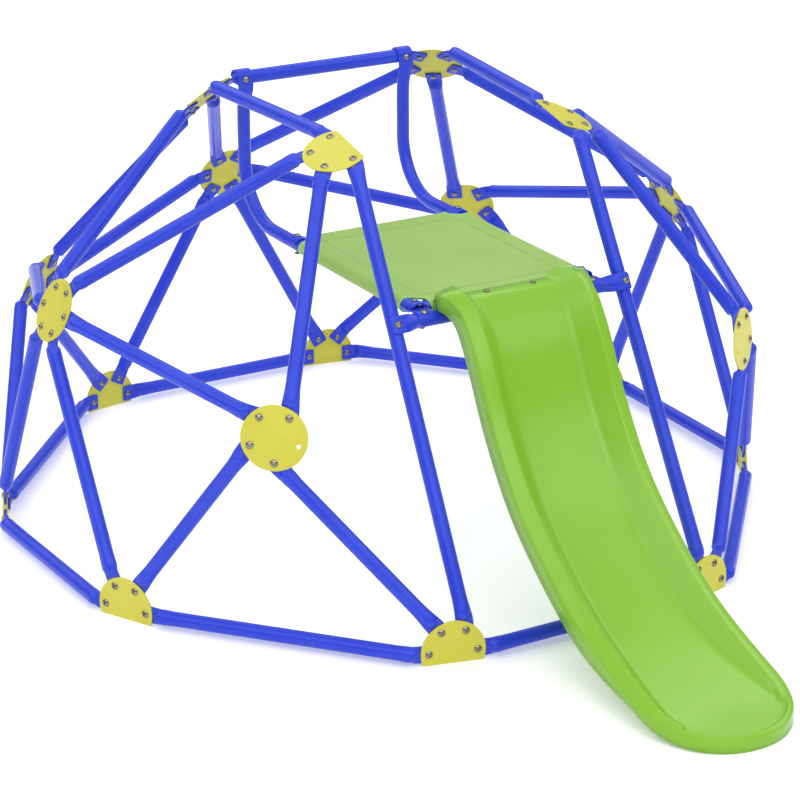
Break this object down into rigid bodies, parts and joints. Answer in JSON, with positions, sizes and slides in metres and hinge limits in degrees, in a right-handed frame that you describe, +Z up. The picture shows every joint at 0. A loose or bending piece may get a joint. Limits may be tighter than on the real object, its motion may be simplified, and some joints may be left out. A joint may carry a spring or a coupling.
{
  "type": "dome climber",
  "caption": "Geodesic dome climber of bolted steel tubes on round hub plates, with a cloth platform hung inside it and a plastic slide leading out at the front.",
  "frame": {"origin": "middle of the footprint, on the ground", "axes": "+Z up, -Y is the way the slide points, X from side to side"},
  "size_m": [1.7708, 2.3555, 1.009],
  "materials": {
    "tube_paint": "gloss powder coat",
    "plate_paint": "satin powder coat",
    "slide_plastic": "gloss moulded",
    "platform_cloth": "woven mesh cloth",
    "bolt_steel": "bright zinc plated"
  },
  "bodies": {
    "root": {"strut_top_front_left_to_top_rear_left": "tube_paint", "strut_top_rear_left_to_top_rear_right": "tube_paint", "strut_top_rear_right_to_top_front_right": "tube_paint", "strut_top_rear_left_to_upper_left": "tube_paint", "strut_top_rear_left_to_upper_rear": "tube_paint", "strut_top_rear_left_to_lower_rear_left": "tube_paint", "strut_top_front_left_to_upper_left": "tube_paint", "strut_top_front_left_to_lower_front_left": "tube_paint", "strut_top_rear_right_to_upper_right": "tube_paint", "strut_top_rear_right_to_upper_rear": "tube_paint", "strut_top_rear_right_to_lower_rear_right": "tube_paint", "strut_top_front_right_to_upper_right": "tube_paint", "strut_top_front_right_to_lower_front_right": "tube_paint", "strut_lower_front_left_to_upper_left": "tube_paint", "strut_upper_left_to_lower_rear_left": "tube_paint", "strut_lower_rear_left_to_upper_rear": "tube_paint", "strut_upper_rear_to_lower_rear_right": "tube_paint", "strut_lower_rear_right_to_upper_right": "tube_paint", "strut_upper_right_to_lower_front_right": "tube_paint", "ground_strut_front_left_to_front_right": "tube_paint", "ground_strut_front_right_to_side_front_right": "tube_paint", "ground_strut_side_front_right_to_side_rear_right": "tube_paint", "ground_strut_side_rear_right_to_rear_right": "tube_paint", "ground_strut_rear_right_to_rear_left": "tube_paint", "ground_strut_rear_left_to_side_rear_left": "tube_paint", "ground_strut_side_rear_left_to_side_front_left": "tube_paint", "ground_strut_side_front_left_to_front_left": "tube_paint", "leg_pair_front_left": "tube_paint", "leg_pair_front_right": "tube_paint", "leg_pair_side_front_left": "tube_paint", "leg_pair_side_front_right": "tube_paint", "leg_pair_side_rear_left": "tube_paint", "leg_pair_side_rear_right": "tube_paint", "leg_pair_rear_left": "tube_paint", "leg_pair_rear_right": "tube_paint", "plate_top_front_left": "plate_paint", "plate_top_front_right": "plate_paint", "plate_top_rear_left": "plate_paint", "plate_top_rear_right": "plate_paint", "plate_upper_left": "plate_paint", "plate_upper_right": "plate_paint", "plate_lower_front_left": "plate_paint", "plate_lower_front_right": "plate_paint", "plate_lower_rear_left": "plate_paint", "plate_lower_rear_right": "plate_paint", "plate_base_front_left": "plate_paint", "plate_base_front_right": "plate_paint", "plate_base_side_front_left": "plate_paint", "plate_base_side_front_right": "plate_paint", "plate_base_side_rear_left": "plate_paint", "plate_base_side_rear_right": "plate_paint", "plate_base_rear_left": "plate_paint", "plate_base_rear_right": "plate_paint", "plate_upper_rear": "plate_paint", "hanger_left": "tube_paint", "hanger_right": "tube_paint", "cross_bar": "tube_paint", "rear_cloth_bar": "tube_paint", "platform_cloth": "platform_cloth", "slide": "slide_plastic"}
  },
  "joints": []
}
